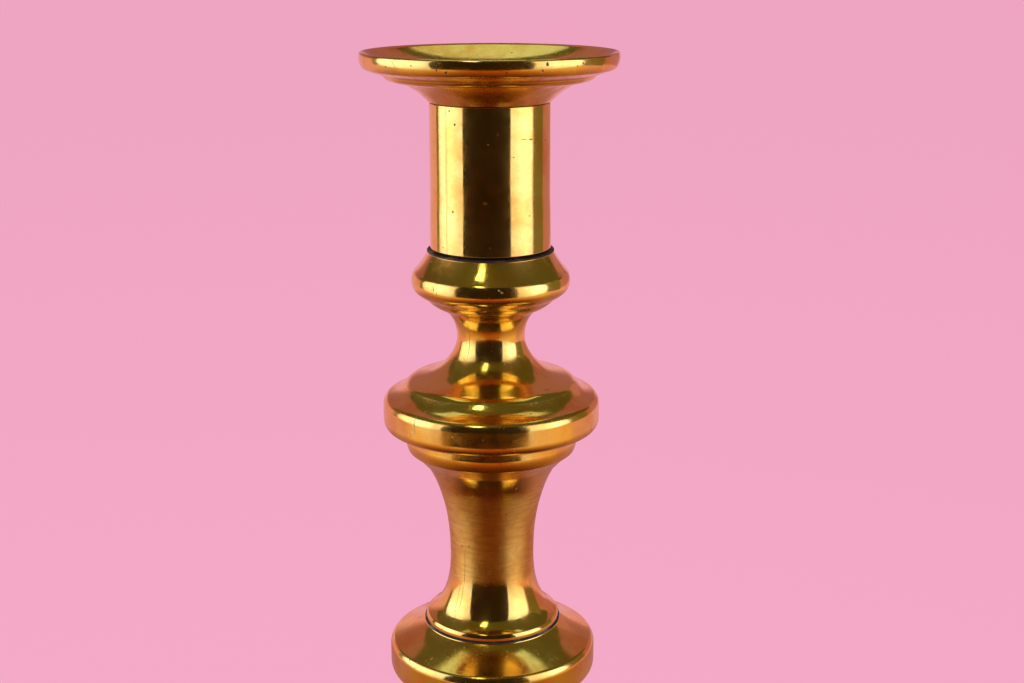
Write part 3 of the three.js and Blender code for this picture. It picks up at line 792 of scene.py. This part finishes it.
def make_turned_pieces():
    """The nine turned pieces: node, outline, how far this reaches below its seat, options and looks."""
    core = dull_brass("unpolished_brass")
    grime = caked_grime("caked_grime")
    rows = (
        ("drip_pan", pan_outline(), PAN.spigot_length, dict(body=PAN_BODY), dict(roughness=0.09)),
        ("socket_barrel", barrel_outline(), FIT.register_length, {}, {}),
        ("upper_stem", upper_outline(), FIT.register_length, {}, dict(roughness=0.09)),
        ("wide_knop", wide_outline(), 0, {}, dict(roughness=0.1)),
        ("neck", shaft_outline(NECK), 0, {}, dict(brushed=0.7, worn=(156, 175, 0.3))),
        ("lower_knop", lower_outline(), 0, {}, dict(roughness=0.1)),
        ("lower_stem", shaft_outline(STEM), 0, {}, {}),
        ("base_collar", collar_outline(), FIT.register_length, {}, {}),
        ("base", base_outline(), 0, {}, {}),
    )
    for node, outline, below, options, looks in rows:
        brass = polished_brass("brass_of_" + node, flaws_and_streaks=FLAWS_AND_MIRRORED_STREAKS.get(node, ()), **looks)
        materials = {"polished": brass, "core": core, "grime": grime}
        piece = revolve("turned_" + node, outline, seat_of(node, below), materials, **options)
        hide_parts(node)


def dress_fixings():
    """The rod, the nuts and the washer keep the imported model's meshes and get their materials."""
    finishes = {"tie_rod": dark_steel("steel_of_rod"), "rod_top_nut": dull_brass("brass_of_nut")}
    finishes["base_washer"] = finishes["base_nut"] = finishes["tie_rod"]
    for node, material in finishes.items():
        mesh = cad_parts[node].data
        mesh.materials.clear()
        mesh.materials.append(material)


# Stage, light and camera, in metres

# The paper and the backdrop, and the world's light on dull surfaces
BACKGROUND = (0.91, 0.4, 0.565, 1)
ROOM_LIGHT = (0.6, 0.6, 0.6, 1)

# The upper part of the backdrop, and the share of its height over which it fades in from below
DIM_PAPER = (0.38, 0.14, 0.2, 1)
DIM_PAPER_FADE = (0.0, 0.22)

# How far the floor reaches, and how much of what is seen of it is even light: two distances from the axis,
# and the share at both
FLOOR_REACH = 20.0
FLOOR_GLOW = (0.09, 0.2, 0.45, 0.85)

# The paper as polished brass sees it, before, beside and behind the object: the distances from the axis
# between which it changes, and its colour at both
SHADED_PAPER = {
    "before": ((0.1, 0.4), (0.07, 0.012, 0.002, 1), (0.52, 0.115, 0.02, 1)),
    "beside": ((0.2, 0.55), (0.4, 0.15, 0.06, 1), (0.95, 0.5, 0.24, 1)),
    "behind": ((0.3, 0.75), (0.5, 0.2, 0.24, 1), (0.9, 0.4, 0.55, 1)),
}

# The same paper's dark front edge, and where it changes: from behind to before the object, from before to
# beside it, at that edge, and far from the axis, where it is clear
PAPER_EDGE = (0.004, 0.002, 0.001, 1)
TABLE = Sizes(front=(0.12, -0.04), sides=(0.07, 0.3), edge=(-0.5, -0.44), clear=(0.7, 0.95))

# Light of the panels: colour, strength, share of it that is left at the edges, and whether one side fades out
GLOWS = {
    "softbox_light": ((0.82, 0.74, 1.25, 1), 3.0, 0.6, False),
    "soft_sided_light": ((0.82, 0.74, 1.25, 1), 3.0, 0.6, True),
    "dark_studio": ((1, 0.5, 0.25, 1), 0.02, 1.0, False),
    "dim_wall": ((1, 0.75, 0.3, 1), 0.2, 1.0, False),
    "dim_ceiling": ((1, 0.8, 0.25, 1), 0.1, 1.0, False),
    "pale_ceiling": ((0.9, 0.95, 1, 1), 0.85, 1.0, False),
    "shaded_paper": ((0.55, 0.2, 0.28, 1), 1.0, 1.0, False),
    "lamp_light": ((1, 0.95, 0.7, 1), 4.5, 1.0, False),
}

# Across a panel, which is one wide: its middle, how far from there the light begins to fall off, and the fade
# of a soft side
PANEL_MIDDLE = 0.5
FALL_START = 0.15
SOFT_SIDE = (1.0, 0.72, 0.12, 1.0)

# Upright panels: light, feet (degrees to the right of the front, distance from the axis), low and high edge
WALLS = {
    "softbox_left": ("softbox_light", ((-113, 0.9), (-52, 0.45)), 0.055, 0.57),
    "softbox_right": ("soft_sided_light", ((38, 0.45), (91, 0.98)), 0.055, 0.62),
    "studio_front": ("dark_studio", ((-54, 0.62), (-25, 0.5), (12, 0.5), (40, 0.6)), -0.01, 0.76),
    "studio_right": ("dim_wall", ((84, 1.2), (118, 0.9)), -0.01, 0.62),
    "studio_left": ("dim_wall", ((-121, 1.1), (-112, 1.2)), -0.01, 0.62),
    "studio_left_high": ("dim_ceiling", ((-133, 1.0), (-112, 1.0)), 0.46, 1.1),
    "studio_right_high": ("dim_ceiling", ((112, 1.0), (133, 1.0)), 0.46, 1.1),
    "softbox_rib": ("dim_wall", ((-90.5, 0.55), (-89.3, 0.55)), 0.055, 0.6),
    "studio_back": ("dim_backdrop", ((116, 1.2), (150, 1.2), (180, 1.2), (210, 1.2), (244, 1.2)), 0.25, 1.45),
    "studio_back_right": ("shaded_paper", ((117, 1.1), (158, 1.3)), -0.01, 0.6),
}

# Level panels: light, left and right edge, front and back edge, height
LEVELS = {
    "table_shade": ("shaded_table", (-1, 1), (-0.8, 1), 0.0015),
    "studio_ceiling": ("dim_ceiling", (-2, 2), (-2, 0.8), 1.1),
    "overhead_light": ("pale_ceiling", (-0.42, 0.42), (0.0, 0.55), 1.09),
    "studio_lamp": ("lamp_light", (-0.27, -0.13), (-0.7, -0.36), 1.0),
}

# The soft lamp overhead: its place, aim and width, and its power in watts
KEY = Sizes(place=(-0.2, -0.25, 1.3), aim=(0, 0, 0.05), size=0.9, energy=9.0)

# The photograph's view, worked out from the outline of the object and from the joint circles in it: angles in
# degrees, sensor and lens in millimetres
VIEW = Sizes(
    place=(0, -0.34656, 0.30279), down=14.731, left=0.8286, roll=-0.067, sensor_width=36, lens=52.734,
    clip_start=0.01, clip_end=50,
)


def stage_mesh(name, corners, material):
    mesh = bpy.data.meshes.new(name)
    mesh.from_pydata(corners, [], [tuple(range(len(corners)))])
    uv = mesh.uv_layers.new(name="panel")
    uv.data.foreach_set("uv", (0, 0, 1, 0, 1, 1, 0, 1))
    mesh.materials.append(material)
    panel = bpy.data.objects.new(name, mesh)
    bpy.context.scene.collection.objects.link(panel)
    return panel


def glow(name, colour, strength, edge, soft_side):
    """Even light, or light that falls off towards the edges of its panel to a share of itself.

    With soft_side it also fades out towards the far end of the panel's foot.
    """
    shader = Shader(name)
    level = strength
    if edge < 1:
        uv = shader.node("SeparateXYZ", {0: shader.node("TexCoord").outputs["UV"]}).outputs
        falls = []
        for part in uv[:2]:
            off = shader.math("ABSOLUTE", shader.math("SUBTRACT", part, PANEL_MIDDLE))
            falls.append(shader.band(off, FALL_START, PANEL_MIDDLE, 1.0, edge))
        share = shader.math("MULTIPLY", *falls)
        if soft_side:
            share = shader.math("MULTIPLY", share, shader.band(uv[0], *SOFT_SIDE))
        level = shader.math("MULTIPLY", share, strength)
    return shader.finish(shader.glowing(colour, level))


def reflected_only(panel):
    """Hides a panel from all but polished surfaces."""
    panel.visible_camera = False
    panel.visible_diffuse = False
    panel.visible_shadow = False


def place_at(degrees, distance):
    """A place on the floor, by its direction to the right of the front and its distance from the axis."""
    turn = math.radians(degrees)
    return distance * math.sin(turn), -distance * math.cos(turn)


def wall_panel(name, material, feet, low, high):
    """Upright panels that stand on a row of feet."""
    feet = [place_at(*foot) for foot in feet]
    for number, (first, second) in enumerate(zip(feet, feet[1:])):
        corners = [(*first, low), (*second, low), (*second, high), (*first, high)]
        reflected_only(stage_mesh(f"{name}_{number}", corners, material))


def level_corners(left, right, front, back, height):
    return [(left, front, height), (right, front, height), (right, back, height), (left, back, height)]


def shaded_table():
    """The paper round the object as it lies in the shade of the camera, the lamps and the object itself."""
    shader = Shader("shaded_table")
    place = shader.node("TexCoord").outputs["Object"]
    across, along, _ = shader.node("SeparateXYZ", {0: place}).outputs
    off = shader.math("ABSOLUTE", across)
    distance = shader.node("VectorMath", {0: place}, operation="LENGTH").outputs["Value"]
    colours = {}
    for side, (reach, near, far) in SHADED_PAPER.items():
        colours[side] = shader.blend(shader.band(distance, *reach), near, far)
    before = shader.blend(shader.band(off, *TABLE.sides), colours["before"], colours["beside"])
    colour = shader.blend(shader.band(along, *TABLE.front), colours["behind"], before)
    colour = shader.blend(shader.band(along, *TABLE.edge), PAPER_EDGE, colour)
    clear = shader.node("BsdfTransparent").outputs[0]
    share = shader.band(distance, *TABLE.clear)
    return shader.finish(shader.mixed(share, shader.glowing(colour), clear))


def dim_backdrop():
    """The upper part of the backdrop, which gets less light than the paper below it."""
    shader = Shader("dim_backdrop")
    along = shader.node("SeparateXYZ", {0: shader.node("TexCoord").outputs["UV"]}).outputs[1]
    clear = shader.node("BsdfTransparent").outputs[0]
    share = shader.band(along, *DIM_PAPER_FADE)
    return shader.finish(shader.mixed(share, clear, shader.glowing(DIM_PAPER)))


def make_stage():
    """The paper floor, and the world's even light."""
    shader = Shader("pale_paper")
    paper = shader.node("BsdfDiffuse", {"Color": BACKGROUND}).outputs[0]
    spot = shader.node("TexCoord").outputs["Object"]
    distance = shader.node("VectorMath", {0: spot}, operation="LENGTH").outputs["Value"]
    share = shader.math("MULTIPLY", shader.seen(), shader.band(distance, *FLOOR_GLOW))
    surface = shader.mixed(share, paper, shader.glowing(BACKGROUND))
    corners = level_corners(-FLOOR_REACH, FLOOR_REACH, -FLOOR_REACH, FLOOR_REACH, 0)
    stage_mesh("floor", corners, shader.finish(surface))

    studio = Shader("studio", bpy.data.worlds)
    tint = studio.blend(studio.seen(), ROOM_LIGHT, BACKGROUND)
    background = studio.node("Background", {"Color": tint}).outputs[0]
    bpy.context.scene.world = studio.finish(background, "OutputWorld")


def make_lights():
    """The panels that the brass mirrors, and a soft lamp."""
    lights = {name: glow(name, *settings) for name, settings in GLOWS.items()}
    lights["dim_backdrop"] = dim_backdrop()
    lights["shaded_table"] = shaded_table()
    for name, (light, feet, low, high) in WALLS.items():
        wall_panel(name, lights[light], feet, low, high)
    for name, (light, sides, depths, height) in LEVELS.items():
        reflected_only(stage_mesh(name, level_corners(*sides, *depths, height), lights[light]))

    key = bpy.data.lights.new("overhead_soft_light", "AREA")
    key.shape = "DISK"
    key.size = KEY.size
    key.energy = KEY.energy
    lamp = bpy.data.objects.new("overhead_soft_light", key)
    lamp.location = KEY.place
    lamp.rotation_euler = (Vector(KEY.place) - Vector(KEY.aim)).to_track_quat("Z", "Y").to_euler()
    lamp.visible_camera = False
    lamp.visible_glossy = False
    bpy.context.scene.collection.objects.link(lamp)


def make_camera():
    camera = bpy.data.cameras.new("camera")
    camera.sensor_width = VIEW.sensor_width
    camera.lens = VIEW.lens
    camera.clip_start = VIEW.clip_start
    camera.clip_end = VIEW.clip_end
    eye = bpy.data.objects.new("camera", camera)
    eye.location = VIEW.place
    turn = Matrix.Rotation(-math.radians(VIEW.left), 4, "Z")
    turn = turn @ Matrix.Rotation(math.pi / 2 - math.radians(VIEW.down), 4, "X")
    turn = turn @ Matrix.Rotation(math.radians(VIEW.roll), 4, "Z")
    eye.rotation_euler = turn.to_euler()
    bpy.context.scene.collection.objects.link(eye)
    bpy.context.scene.camera = eye


bpy.context.scene.view_settings.view_transform = "Standard"
make_camera()
make_stage()
make_lights()
make_turned_pieces()
dress_fixings()
